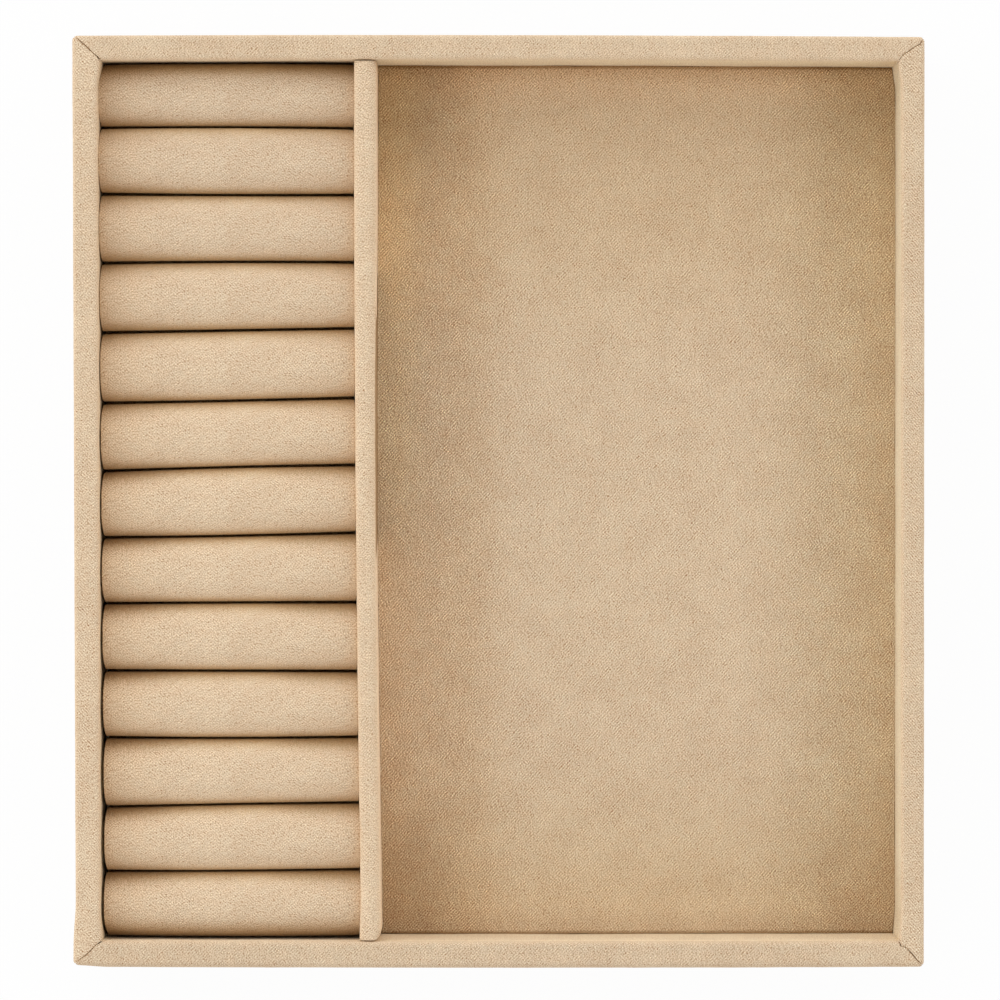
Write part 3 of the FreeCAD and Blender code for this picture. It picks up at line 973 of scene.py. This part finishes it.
class TrayFloorPad(bpy.types.Operator):
    """Makes the open bay's padded floor: foam on its card, and suede drawn over it and turned under"""

    bl_idname = "tray.floor_pad"
    bl_label = "Pad the floor"

    def execute(self, context):
        sizes = context.scene.tray_sizes
        finishes = context.scene.tray_finishes
        piece = stand(self.cover(sizes), "floor_suede", self.suede(finishes), "suede", "floor_cover")
        crest = max(vert.co.z for vert in piece.data.vertices)
        shoulder = crest - 0.4 * MM
        swell(piece, lambda co: co.z < shoulder, pressure=4, cap=sizes.pad_swell)
        for vert in piece.data.vertices:
            if vert.co.z > shoulder:
                vert.co.z += ripple(vert.co, 30 * MM, 0.12 * MM, 51.5) - 0.15 * MM
            if vert.co.z > crest - 2 * MM:
                vert.co.z -= self.droop(vert.co, sizes)
            vert.co = self.spread(vert.co, sizes)
        thicken(piece, SUEDE)
        foam = stand(self.foam(sizes), "floor_pad_foam", foam_material(finishes), "foam", "floor_foam")
        return {"FINISHED"}

    def cover(self, sizes):
        """The straight suede over the pad, with its hem turned under."""
        low, high = PAD_LOW, PAD_HIGH
        bm = box(low, high)
        under = [face for face in bm.faces if face.normal.z < -0.9]
        bmesh.ops.delete(bm, geom=under, context="FACES_ONLY")
        upper = edges_above(bm, high.z - MM / 2)
        soft = [edge for edge in bm.edges if lined_up(edge, 2) or edge in upper]
        round_off(bm, soft, sizes.pad_round, 5)
        sliced(bm, 0, low.x + sizes.pad_round, high.x - sizes.pad_round, 2.2 * MM)
        sliced(bm, 1, low.y + sizes.pad_round, high.y - sizes.pad_round, 2.2 * MM)
        open_edges = [edge for edge in bm.edges if edge.is_boundary]
        made = bmesh.ops.extrude_edge_only(bm, edges=open_edges)["geom"]
        for item in made:
            if isinstance(item, bmesh.types.BMVert):
                item.co.x = min(max(item.co.x, low.x + sizes.pad_hem), high.x - sizes.pad_hem)
                item.co.y = min(max(item.co.y, low.y + sizes.pad_hem), high.y - sizes.pad_hem)
        bmesh.ops.remove_doubles(bm, verts=bm.verts, dist=NEAR)
        bmesh.ops.recalc_face_normals(bm, faces=bm.faces)

        def laid_out(at, start, end, fall):
            """A place across the pad, with what falls over its edge laid out flat."""
            margin = 5 * MM
            if at < start + margin:
                return at - fall
            return at + fall if at > end - margin else at

        def flat_place(co):
            """Across and along the pad."""
            fall = high.z - co.z
            return laid_out(co.x, low.x, high.x, fall), laid_out(co.y, low.y, high.y, fall)

        lay_cloth(bm, flat_place)
        return bm

    def suede(self, finishes):
        """The floor's suede, whose grain changes towards the walls and the divider, with painted light and
        shade towards them.
        """
        low, high = PAD_LOW, PAD_HIGH
        material = suede_material("suede_floor", finishes, level=1.005, twill=0.75, fibres=1.25, degrees=-2.8)
        cloth = parts_of(material.node_tree, cloth_place(material.node_tree))
        across = cloth["X"]
        along = cloth["Y"]
        width = high.x - low.x
        length = high.y - low.y
        far_sides = {
            "left": (across, high.x, width),
            "right": (across, low.x, width),
            "front": (along, high.y, length),
            "back": (along, low.y, length),
        }

        def ranges_of(near):
            """Ranges for the cloth, measured from the far sides."""
            found = []
            for side, start, end in near:
                value, far, span = far_sides[side]
                found.append((value, far, span - start * MM, span - end * MM))
            return found

        for near, strength in FLOOR_GRAINS:
            embolden(material, ranges_of(near), finishes, strength)
        # Painted light and shade along the floor's walls and corners
        for near, tone in FLOOR_PAINTED_SHADING:
            paint_shading(material, ranges_of(near), tone)
        return material

    def foam(self, sizes):
        """The foam under the suede, spread and sunk as the suede is."""
        bm = box(PAD_FOAM_LOW, PAD_FOAM_HIGH)
        round_off(bm, edges_above(bm, PAD_FOAM_HIGH.z - MM / 2), 0.7 * MM, 3)
        sliced(bm, 1, PAD_FOAM_LOW.y, PAD_FOAM_HIGH.y, 12 * MM)
        for vert in bm.verts:
            if vert.co.z > PAD_FOAM_HIGH.z - MM:
                vert.co.z -= 0.35 * MM + self.droop(vert.co, sizes)
            vert.co = self.spread(vert.co, sizes)
        return bm

    def droop(self, co, sizes):
        """How far the pad's top sinks along the back wall."""
        return sizes.pad_droop * eased(1 - (PAD_HIGH.y - co.y) / (2.5 * MM))

    def spread(self, co, sizes):
        """A point of the straight pad, spread to the walls and the divider."""
        to_right = (co.x - PAD_LOW.x) / (PAD_HIGH.x - PAD_LOW.x)
        to_back = (co.y - PAD_LOW.y) / (PAD_HIGH.y - PAD_LOW.y)
        left = DIVIDER_HIGH.x + SUEDE + divider_run(co.y, sizes, 1) + sizes.pad_gap
        right = INNER_X + out_of_square(Vector((INNER_X, co.y, 0)), sizes).x - sizes.pad_gap
        front = -INNER_Y + out_of_square(Vector((co.x, -INNER_Y, 0)), sizes).y + sizes.pad_gap
        back = INNER_Y + out_of_square(Vector((co.x, INNER_Y, 0)), sizes).y - sizes.pad_gap
        uneven = ripple(co, 7 * MM, 0.12 * MM, 57.5)
        x = left + (right - left) * to_right + uneven * (2 * to_right - 1)
        steepness = 45
        at_end = eased(1 - steepness * (1 - abs(2 * to_back - 1)))
        x -= sizes.pad_corner * at_end * eased(1 - steepness * to_right)
        y = front + (back - front) * to_back + uneven * (2 * to_back - 1)
        return Vector((x, y, co.z))


class TrayRingRolls(bpy.types.Operator):
    """Makes the ring rolls: foam cores in suede sleeves, pressed together side by side"""

    bl_idname = "tray.ring_rolls"
    bl_label = "Fill the ring bay"

    def execute(self, context):
        sizes = context.scene.tray_sizes
        finishes = context.scene.tray_finishes
        material = self.suede(finishes)
        foam = foam_material(finishes)
        foot = ROLL_LOW.z + 3 * MM
        for number in range(ROLL_COUNT):
            label = "%02d" % (number + 1)
            sleeve = self.sleeve(number, sizes)
            name = "ring_roll_suede_" + label
            piece = stand(sleeve, name, material, "suede", "ring_roll_sleeve_" + label)
            swell(piece, lambda co: co.z < foot, pressure=5, cap=sizes.roll_swell)
            refine(piece, 3)
            for vert in piece.data.vertices:
                vert.co = self.placed(vert.co, number, sizes)
            thicken(piece, SUEDE)
            core = self.core(sizes)
            for vert in core.verts:
                vert.co = self.placed(vert.co, number, sizes)
            foam_piece = stand(core, "ring_roll_foam_" + label, foam, "foam", "ring_roll_core_" + label)
        return {"FINISHED"}

    def suede(self, finishes):
        """The rolls' suede, with painted shade in the creases, at the ends and along the walls, and painted
        light deep in the creases.
        """
        # Painted light: the rolls' suede is made paler
        material = suede_material("suede_rolls", finishes, level=1.05, twill=0.45, fibres=1.25, degrees=90)
        tree = material.node_tree
        cloth = cloth_place(tree)
        flat = parts_of(tree, cloth)
        along = flat["X"]
        smooth = flat["Y"]
        streaks = maths(tree, "SUBTRACT", speckles(tree, stretched(tree, cloth, 1, 0.15), 2400.0), 0.5)
        round_it = maths(tree, "ADD", smooth, maths(tree, "MULTIPLY", streaks, 6 * MM))
        to_back = parts_of(tree, object_place(tree))["Y"]
        far = 150 * MM
        wall = far + INNER_Y
        at_left = (along, 40 * MM, 46 * MM, 68 * MM)
        at_right = (along, -40 * MM, 48 * MM, 66 * MM)
        behind = (round_it, -20 * MM, 25 * MM, 31 * MM)
        before = (round_it, 20 * MM, 26 * MM, 31 * MM)
        front_rolls = (to_back, far, 114 * MM, 150 * MM)
        # Painted shade in the creases, at the left ends, behind and before the crowns, towards the back and
        # along the back and front walls; painted light deep in the creases
        paint_shading(material, ((round_it, 0, 8 * MM, 14 * MM),), finishes.crease_shade)
        paint_shading(material, ((to_back, -far, 160 * MM, 255 * MM),), BACK_ROLLS_PAINTED_SHADE)
        paint_shading(material, ((along, 40 * MM, 52 * MM, 78 * MM),), finishes.roll_end_shade)
        paint_shading(material, (behind, at_left, front_rolls), finishes.crease_end_shade)
        paint_shading(material, (behind, at_right, front_rolls), finishes.crease_right_shade)
        paint_shading(material, (before, at_left), finishes.crease_front_shade)
        paint_shading(material, ((round_it, -20 * MM, 25.5 * MM, 29.5 * MM),), BEHIND_CROWN_PAINTED_SHADE)
        paint_shading(material, ((smooth, 0, 12 * MM, 15 * MM),), DEEP_CREASE_PAINTED_LIGHT)
        paint_shading(material, ((to_back, -far, wall - 4.5 * MM, wall),), finishes.bay_back_shade)
        paint_shading(material, ((to_back, far, wall - 6 * MM, wall),), finishes.bay_front_shade)
        return material

    def sleeve(self, number, sizes):
        """A straight sleeve at Y 0, open under its middle."""
        low, high = ROLL_LOW, ROLL_HIGH
        side = (high.y - low.y) / 2
        length = high.x - low.x
        slit = sizes.roll_seam / 2
        points = [
            (slit, low.z),
            (side, low.z),
            (side, high.z),
            (-side, high.z),
            (-side, low.z),
            (-slit, low.z),
        ]
        folds = [
            (points[1], SUEDE, 2),
            (points[2], sizes.roll_shoulder, 7),
            (points[3], sizes.roll_shoulder, 7),
            (points[4], SUEDE, 2),
        ]
        bm = strip(points, length, folds, fineness=1.1 * MM, along=64)
        self.crown(bm, sizes)

        def flat_place(co):
            """Along the roll, and round it from the middle of its crown."""
            if co.z < low.z + SUEDE:
                return co.x, math.copysign(2 * side + high.z - low.z - abs(co.y), co.y)
            return co.x, co.y + math.copysign(high.z - co.z, co.y)

        lay_cloth(bm, flat_place)
        seed = 60.5 + 3 * number
        for vert in bm.verts:
            if vert.co.z > low.z + 5 * MM:
                vert.co.z += ripple(vert.co, 14 * MM, 0.18 * MM, seed)
        return bm

    def core(self, sizes):
        """A straight foam core at Y 0."""
        side = (ROLL_HIGH.y - ROLL_LOW.y) / 2 - SUEDE
        reach = (ROLL_HIGH.x - ROLL_LOW.x) / 2 - 0.5 * MM
        bm = box(Vector((-reach, -side, ROLL_LOW.z + SUEDE)), Vector((reach, side, ROLL_HIGH.z - SUEDE)))
        upper = edges_at(bm, 0, z=ROLL_HIGH.z - SUEDE)
        round_off(bm, upper, sizes.roll_shoulder - SUEDE, 5)
        sliced(bm, 0, -reach, reach, 4 * MM)
        sliced(bm, 1, -side, side, 2 * MM)
        self.crown(bm, sizes)
        return bm

    def crown(self, bm, sizes):
        """Bends the flat top to its crown."""
        foot = ROLL_LOW.z + 6 * MM
        for vert in bm.verts:
            if vert.co.z > foot:
                drop = sizes.roll_crown - math.sqrt(sizes.roll_crown**2 - vert.co.y**2)
                vert.co.z -= drop * (vert.co.z - foot) / (ROLL_HIGH.z - foot)

    def placed(self, co, number, sizes):
        """A point of the straight roll, in its place between two creases and between wall and divider."""
        half_length = (ROLL_HIGH.x - ROLL_LOW.x) / 2
        middle = (ROLL_LOW.x + ROLL_HIGH.x) / 2
        along = co.x / half_length
        gap = sizes.roll_gap * (0.25 + 0.5 * along**2)
        back = roll_edge(number, middle + co.x) - gap
        front = roll_edge(number + 1, middle + co.x) + gap
        reach = (ROLL_HIGH.y - ROLL_LOW.y) / 2 + sizes.roll_swell
        share = min(max(co.y / reach, -1), 1)
        y = (back + front) / 2 + share * (back - front) / 2
        to_back = y / INNER_Y
        left = -INNER_X + max(sizes.roll_left * (1 - to_back), 0.05 * MM)
        left += out_of_square(Vector((-INNER_X, y, 0)), sizes).x
        right = DIVIDER_LOW.x - SUEDE + divider_run(y, sizes, 0) - sizes.roll_right
        if number == ROLL_COUNT - 1:
            left -= sizes.last_out
        draw_in = sizes.roll_draw * abs(share) ** 4 * abs(along) ** 20
        x = (left + right) / 2 + along * ((right - left) / 2 - draw_in)
        slump = sizes.roll_slump * (1.0 if along < 0 else 0.75)
        if share > 0:
            droop = slump * 1.3 * share**1.7 * (0.12 + 0.88 * abs(along) ** 1.8)
        else:
            droop = slump * 0.85 * (-share) ** 2.5 * abs(along) ** 1.8
        droop += sizes.roll_dip * abs(along) ** 10
        spot = Vector((co.x / (0.5 * MM), 20 * number + math.copysign(9, share), co.z / (0.8 * MM)))
        frayed = sizes.fray * noise.noise(spot) * eased(3 * abs(share) - 2)
        y -= math.copysign(abs(frayed), share)
        if number == 0:
            droop += sizes.first_dip * (1 + max(share, 0) ** 3)
        if number == ROLL_COUNT - 1:
            droop += sizes.last_low + sizes.last_dip * max(-share, 0) ** 3
        rise = max((co.z - ROLL_LOW.z) / (ROLL_HIGH.z - ROLL_LOW.z) - 0.4, 0) / 0.6
        return Vector((x, y, co.z - droop * rise))


class TrayRiser(bpy.types.Operator):
    """Makes the foam slab that lifts the ring rolls"""

    bl_idname = "tray.riser"
    bl_label = "Lay the riser"

    def execute(self, context):
        finishes = context.scene.tray_finishes
        bm = box(RISER_LOW, RISER_HIGH)
        round_off(bm, bm.edges[:], 0.5 * MM, 3)
        sliced(bm, 1, RISER_LOW.y, RISER_HIGH.y, 9 * MM)
        sliced(bm, 0, RISER_LOW.x, RISER_HIGH.x, 9 * MM)
        piece = stand(bm, "ring_bed_foam", foam_material(finishes), "foam", "ring_bed_riser")
        return {"FINISHED"}


class TrayLining(bpy.types.Operator):
    """Lays the lining that hides the hems under the tray"""

    bl_idname = "tray.lining"
    bl_label = "Line the underside"

    def execute(self, context):
        sizes = context.scene.tray_sizes
        finishes = context.scene.tray_finishes
        bm = box(LINING_LOW, LINING_HIGH)
        round_off(bm, [edge for edge in bm.edges if lined_up(edge, 2)], sizes.lining_round, 8)
        table = LINING_LOW.z + MM / 8
        lower = [edge for edge in bm.edges if max(vert.co.z for vert in edge.verts) < table]
        round_off(bm, lower, 0.4 * MM, 3)
        sliced(bm, 0, LINING_LOW.x, LINING_HIGH.x, 10 * MM)
        sliced(bm, 1, LINING_LOW.y, LINING_HIGH.y, 10 * MM)
        piece = stand(bm, "underside_sheet", lining_material(finishes), "lining", "underside_lining")
        return {"FINISHED"}


class TrayBoards(bpy.types.Operator):
    """Gives the carcass boards and the floor card their finish"""

    bl_idname = "tray.boards"
    bl_label = "Finish the boards"

    def execute(self, context):
        finishes = context.scene.tray_finishes
        fibreboard = board_material("fibreboard", finishes.fibreboard)
        greyboard = board_material("greyboard", finishes.greyboard)
        boards = ["base_board", "divider_board"] + [side + "_wall_board" for side in WALLS]
        for name in boards + ["floor_card"]:
            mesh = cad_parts[name].data
            mesh.materials.clear()
            mesh.materials.append(greyboard if name == "floor_card" else fibreboard)
        return {"FINISHED"}


class TrayStage(bpy.types.Operator):
    """Sets the pale floor, the soft light and the camera straight above"""

    bl_idname = "tray.stage"
    bl_label = "Set the stage"

    def execute(self, context):
        scene = context.scene
        finishes = scene.tray_finishes
        scene.view_settings.view_transform = "Standard"
        self.floor()
        self.sky(scene, finishes)
        back_left = Vector((-0.95, 0.85, 1.35))
        self.lamp("key_light", back_left, width=0.9, power=finishes.key_power)
        self.camera(scene)
        return {"FINISHED"}

    def seen(self, tree):
        """Whether a ray comes from the camera, or by a mirror or glass."""
        path = put(tree, "ShaderNodeLightPath").outputs
        mirrored = maths(tree, "MAXIMUM", path["Is Glossy Ray"], path["Is Transmission Ray"])
        return maths(tree, "MAXIMUM", path["Is Camera Ray"], mirrored)

    def floor(self):
        """A pale floor that looks white and keeps a faint shadow, and is clear from below."""
        bm = bmesh.new()
        bmesh.ops.create_grid(bm, x_segments=1, y_segments=1, size=6)
        bmesh.ops.translate(bm, verts=bm.verts, vec=(0, 0, -0.05 * MM))
        mesh = bpy.data.meshes.new("floor")
        bm.to_mesh(mesh)
        bm.free()
        material = bpy.data.materials.new("pale_floor")
        material.use_nodes = True
        tree = material.node_tree
        tree.nodes.clear()
        paint = put(tree, "ShaderNodeBsdfDiffuse", {"Color": (0.92, 0.92, 0.92, 1)}).outputs[0]
        white = put(tree, "ShaderNodeEmission", {"Color": (1, 1, 1, 1), "Strength": 1.0}).outputs[0]
        clear = put(tree, "ShaderNodeBsdfTransparent").outputs[0]
        share = maths(tree, "MULTIPLY", self.seen(tree), 0.95)
        upper = put(tree, "ShaderNodeMixShader", {0: share, 1: paint, 2: white}).outputs[0]
        under = put(tree, "ShaderNodeNewGeometry").outputs["Backfacing"]
        both = put(tree, "ShaderNodeMixShader", {0: under, 1: upper, 2: clear}).outputs[0]
        put(tree, "ShaderNodeOutputMaterial", {"Surface": both})
        mesh.materials.append(material)
        floor = bpy.data.objects.new("floor", mesh)
        bpy.context.scene.collection.objects.link(floor)

    def sky(self, scene, finishes):
        """Even light all round, and a white ground to the camera."""
        world = bpy.data.worlds.new("studio")
        world.use_nodes = True
        scene.world = world
        tree = world.node_tree
        tree.nodes.clear()
        way = parts_of(tree, put(tree, "ShaderNodeTexCoord").outputs["Generated"])
        rise = ranged(tree, way["Z"], 0.3, 0.95, finishes.sky_side, finishes.sky_top)
        to_left = maths(tree, "MULTIPLY", way["X"], 0.6)
        lean = maths(tree, "SUBTRACT", maths(tree, "MULTIPLY", way["Y"], 0.8), to_left)
        level = maths(tree, "ADD", rise, maths(tree, "MULTIPLY", lean, finishes.sky_lean))
        light = put(tree, "ShaderNodeBackground", {"Color": (1, 1, 1, 1), "Strength": level}).outputs[0]
        white = put(tree, "ShaderNodeBackground", {"Color": (1, 1, 1, 1), "Strength": 1.0}).outputs[0]
        both = put(tree, "ShaderNodeMixShader", {0: self.seen(tree), 1: light, 2: white}).outputs[0]
        put(tree, "ShaderNodeOutputWorld", {"Surface": both})

    def lamp(self, name, place, width, power):
        """A square soft light, turned to the tray and not seen itself."""
        data = bpy.data.lights.new(name, "AREA")
        data.size = width
        data.energy = power
        light = bpy.data.objects.new(name, data)
        light.location = place
        light.rotation_euler = (-place).to_track_quat("-Z", "Y").to_euler()
        light.visible_camera = False
        bpy.context.scene.collection.objects.link(light)

    def camera(self, scene):
        """The camera straight above, a little right of and behind the middle."""
        distance = 1.55
        seen_width = 0.268
        data = bpy.data.cameras.new("camera")
        data.sensor_width = 36
        data.lens = data.sensor_width * distance / seen_width
        data.clip_start = 0.05
        data.clip_end = 50
        camera = bpy.data.objects.new("camera", data)
        target = Vector((0.23 * MM, 0.51 * MM, TRAY_HIGH.z))
        behind = 16 * MM
        camera.location = target + Vector((0, behind, distance))
        camera.rotation_euler.x = -math.atan2(behind, distance)
        scene.collection.objects.link(camera)
        scene.camera = camera


STEPS = (
    TrayStage,
    TrayBoards,
    TrayLining,
    TrayWallSuede,
    TrayDividerSuede,
    TrayFloorPad,
    TrayRiser,
    TrayRingRolls,
)


class TrayPanel(bpy.types.Panel):
    """Lists the tray's steps in the sidebar"""

    bl_idname = "TRAY_PT_steps"
    bl_label = "Jewelry tray"
    bl_space_type = "VIEW_3D"
    bl_region_type = "UI"
    bl_category = "Tray"

    def draw(self, context):
        for step in STEPS:
            self.layout.operator(step.bl_idname)


CLASSES = (TraySizes, TrayFinishes) + STEPS + (TrayPanel,)


def register():
    for item in CLASSES:
        bpy.utils.register_class(item)
    bpy.types.Scene.tray_sizes = PointerProperty(type=TraySizes)
    bpy.types.Scene.tray_finishes = PointerProperty(type=TrayFinishes)


def unregister():
    del bpy.types.Scene.tray_finishes
    del bpy.types.Scene.tray_sizes
    for item in reversed(CLASSES):
        bpy.utils.unregister_class(item)


def main():
    register()
    bpy.ops.tray.stage()
    bpy.ops.tray.boards()
    bpy.ops.tray.lining()
    bpy.ops.tray.wall_suede()
    bpy.ops.tray.divider_suede()
    bpy.ops.tray.floor_pad()
    bpy.ops.tray.riser()
    bpy.ops.tray.ring_rolls()


if __name__ == "__main__":
    main()
